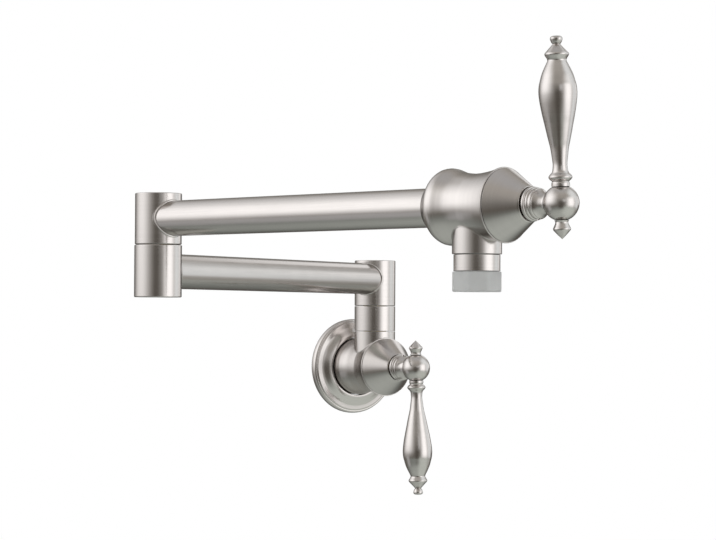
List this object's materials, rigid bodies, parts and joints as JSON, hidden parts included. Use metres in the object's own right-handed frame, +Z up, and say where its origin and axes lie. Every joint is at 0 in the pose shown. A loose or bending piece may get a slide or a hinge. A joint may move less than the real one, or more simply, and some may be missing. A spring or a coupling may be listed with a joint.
{
  "type": "wall mounted pot filler",
  "caption": "Folding double-jointed water spout for a wall over a hob, with a lever valve at the wall and another at the spout.",
  "frame": {"origin": "centre of the wall flange's back, on the wall's surface and the inlet's axis", "axes": "+Y into the wall, +Z up, -Y into the room; the arms are at their pictured pose"},
  "size_m": [0.2991, 0.511, 0.2798],
  "materials": {
    "brushed_nickel": "brushed nickel plate on brass, warm grey satin",
    "brass": "machined, bare",
    "steel": "stainless, plain",
    "ceramic": "lapped",
    "rubber": "matt black",
    "acetal": "natural white",
    "frosted_plastic": "translucent grey, frosted"
  },
  "bodies": {
    "wall_body": {"wall_flange": "brushed_nickel", "flange_gasket": "rubber", "flange_grip_ring": "rubber", "valve_body": "brushed_nickel", "wall_cone": "brushed_nickel", "wall_cartridge": "brass", "wall_seat_seal": "rubber", "wall_fixed_disc": "ceramic", "post_collar": "brushed_nickel", "post_spigot": "brass", "post_o_ring_lower": "rubber", "post_o_ring_upper": "rubber", "post_retaining_ring": "steel", "post_glide_washer": "acetal"},
    "wall_handle": {"wall_moving_disc": "ceramic", "wall_stem": "brass", "wall_stem_seal": "rubber", "wall_handle_hub": "brushed_nickel", "wall_handle_ball": "brushed_nickel", "wall_lever": "brushed_nickel", "wall_ball_finial": "brushed_nickel", "wall_set_screw": "steel"},
    "inner_arm": {"post_hub": "brushed_nickel", "post_hub_cap": "brushed_nickel", "post_cap_seal": "rubber", "post_thrust_washer": "acetal", "inner_tube": "brushed_nickel", "elbow_lower_hub": "brushed_nickel", "elbow_spigot": "brass", "elbow_o_ring_lower": "rubber", "elbow_o_ring_upper": "rubber", "elbow_retaining_ring": "steel", "elbow_glide_washer": "acetal"},
    "outer_arm": {"elbow_upper_hub": "brushed_nickel", "elbow_hub_cap": "brushed_nickel", "elbow_cap_seal": "rubber", "elbow_thrust_washer": "acetal", "outer_tube": "brushed_nickel", "spout_body": "brushed_nickel", "spout_cone": "brushed_nickel", "spout_cartridge": "brass", "spout_seat_seal": "rubber", "spout_fixed_disc": "ceramic", "aerator_shell": "brushed_nickel", "aerator_washer": "rubber", "aerator_screen": "steel", "aerator_nozzle": "frosted_plastic"},
    "spout_handle": {"spout_moving_disc": "ceramic", "spout_stem": "brass", "spout_stem_seal": "rubber", "spout_handle_hub": "brushed_nickel", "spout_handle_ball": "brushed_nickel", "spout_lever": "brushed_nickel", "spout_ball_finial": "brushed_nickel", "spout_set_screw": "steel"}
  },
  "joints": [
    {"name": "wall_swivel", "type": "hinge", "parent": "wall_body", "child": "inner_arm", "pos_m": [0, -0.0325, 0.0646], "axis": [0, 0, 1], "range_deg": [-28.6, 151.4]},
    {"name": "elbow_swivel", "type": "hinge", "parent": "inner_arm", "child": "outer_arm", "pos_m": [-0.24908, -0.16831, 0.0815], "axis": [0, 0, 1], "range_deg": [-247.3, 98.7]},
    {"name": "wall_handle_turn", "type": "hinge", "parent": "wall_body", "child": "wall_handle", "pos_m": [0, -0.0889, 0], "axis": [0, -1, 0], "range_deg": [-1.5, 88.5]},
    {"name": "spout_handle_turn", "type": "hinge", "parent": "outer_arm", "child": "spout_handle", "pos_m": [-0.18707, -0.43909, 0.0979], "axis": [0.2233, -0.9748, 0], "range_deg": [-3, 87]}
  ]
}
